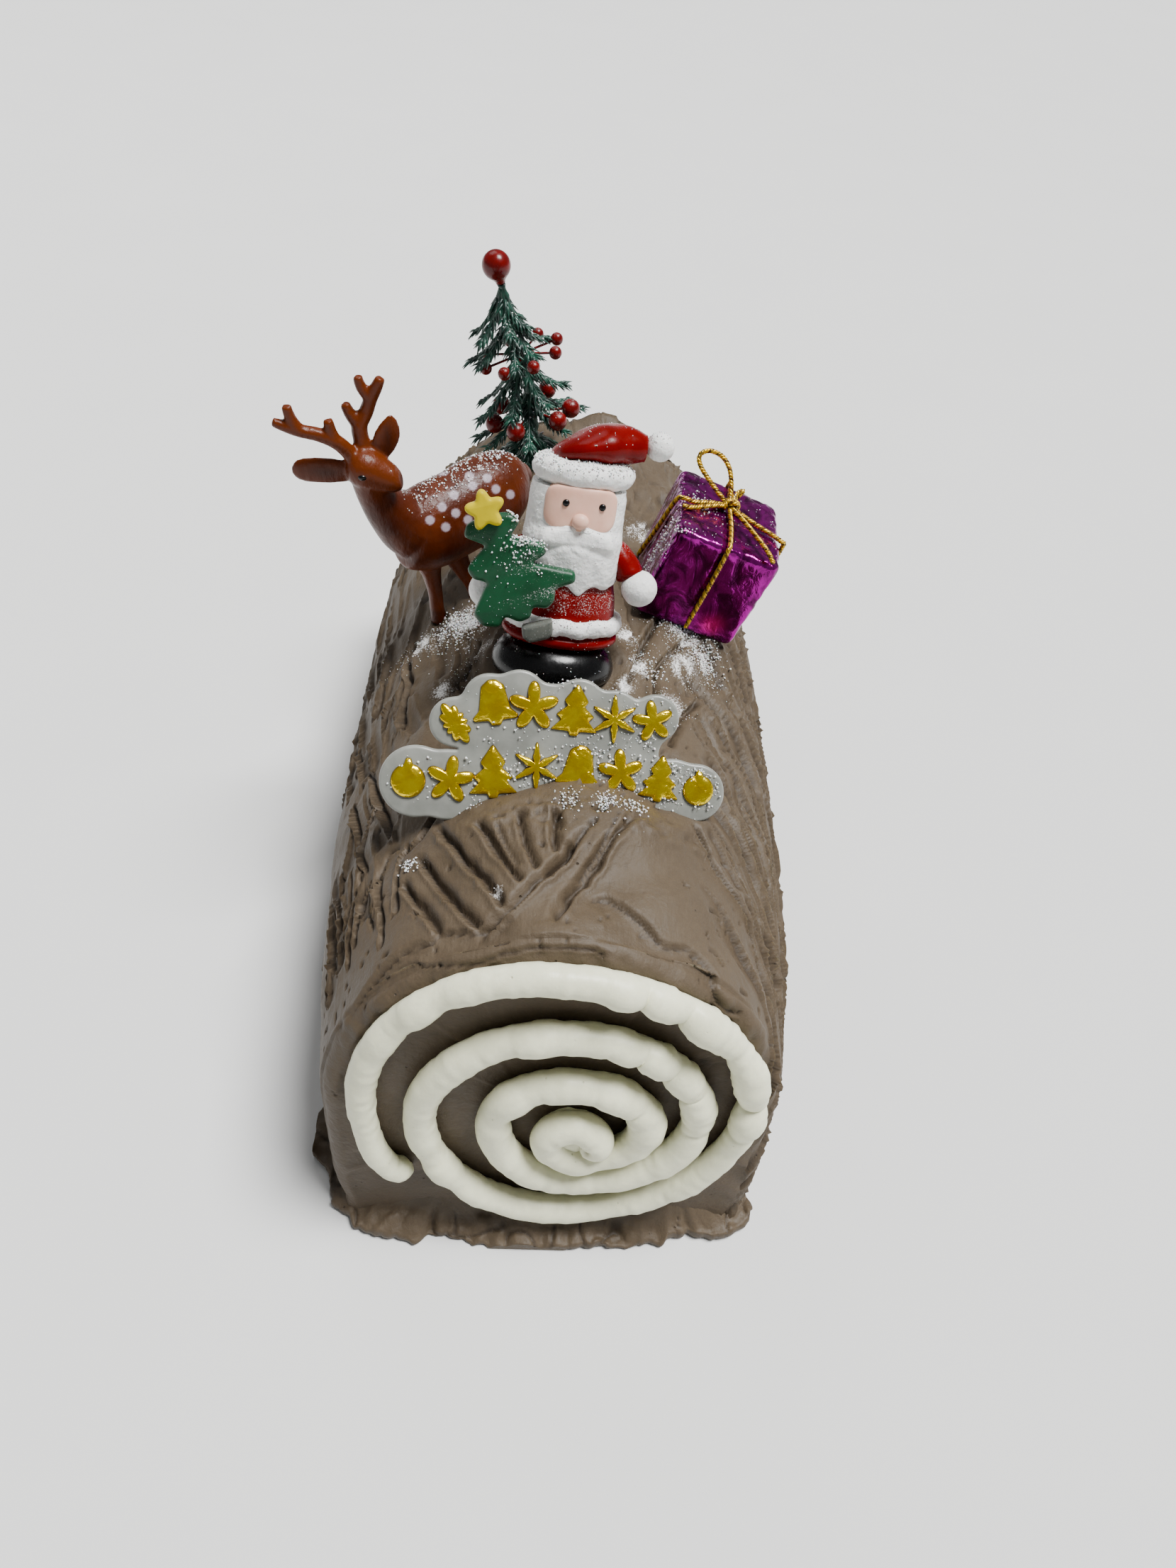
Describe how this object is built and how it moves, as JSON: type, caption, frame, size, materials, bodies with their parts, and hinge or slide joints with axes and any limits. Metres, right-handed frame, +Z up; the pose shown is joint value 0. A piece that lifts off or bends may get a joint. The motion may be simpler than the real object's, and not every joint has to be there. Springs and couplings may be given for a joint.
{
  "type": "yule log cake",
  "caption": "Uncut yule log cake in chocolate cream with piped spiral ends, a plaque, Santa, reindeer, fir and parcel toppers.",
  "frame": {"origin": "on the flat underside, below the middle of the log", "axes": "+Y along the log to its back end, +X to the right seen from the front, +Z up; the front face looks towards -Y"},
  "size_m": [0.1254, 0.2369, 0.1565],
  "materials": {
    "mocha_cream": "matt whipped chocolate buttercream",
    "white_cream": "smooth piped white buttercream",
    "plaque_plastic": "milky satin plastic with gold embossing",
    "black_plastic": "black soft plastic",
    "red_plastic": "satin red plastic",
    "white_plastic": "white soft plastic",
    "skin_plastic": "pale pink soft plastic",
    "green_plastic": "green soft plastic",
    "yellow_plastic": "yellow soft plastic",
    "grey_plastic": "dark grey soft plastic",
    "deer_plastic": "glossy brown plastic with painted pale spots",
    "fir_plastic": "dark green plastic with frosted tips",
    "purple_foil": "shiny purple foil",
    "gold_cord": "twisted metallic gold cord"
  },
  "bodies": {
    "root": {"log_body": "mocha_cream", "front_spiral": "white_cream", "back_spiral": "white_cream", "plaque": "plaque_plastic", "figure_boots": "black_plastic", "figure_coat": "red_plastic", "figure_coat_trim": "white_plastic", "figure_head": "white_plastic", "figure_face": "skin_plastic", "figure_hat_brim": "white_plastic", "figure_hat": "red_plastic", "figure_pompom": "white_plastic", "figure_arm_right": "red_plastic", "figure_arm_left": "red_plastic", "figure_mitten_right": "white_plastic", "figure_mitten_left": "white_plastic", "figure_fir": "green_plastic", "figure_fir_star": "yellow_plastic", "figure_fir_trunk": "grey_plastic", "reindeer": "deer_plastic", "fir_sprigs": "fir_plastic", "fir_berries": "red_plastic", "fir_baubles": "red_plastic", "fir_top_ball": "red_plastic", "parcel": "purple_foil", "parcel_cord": "gold_cord"}
  },
  "joints": []
}
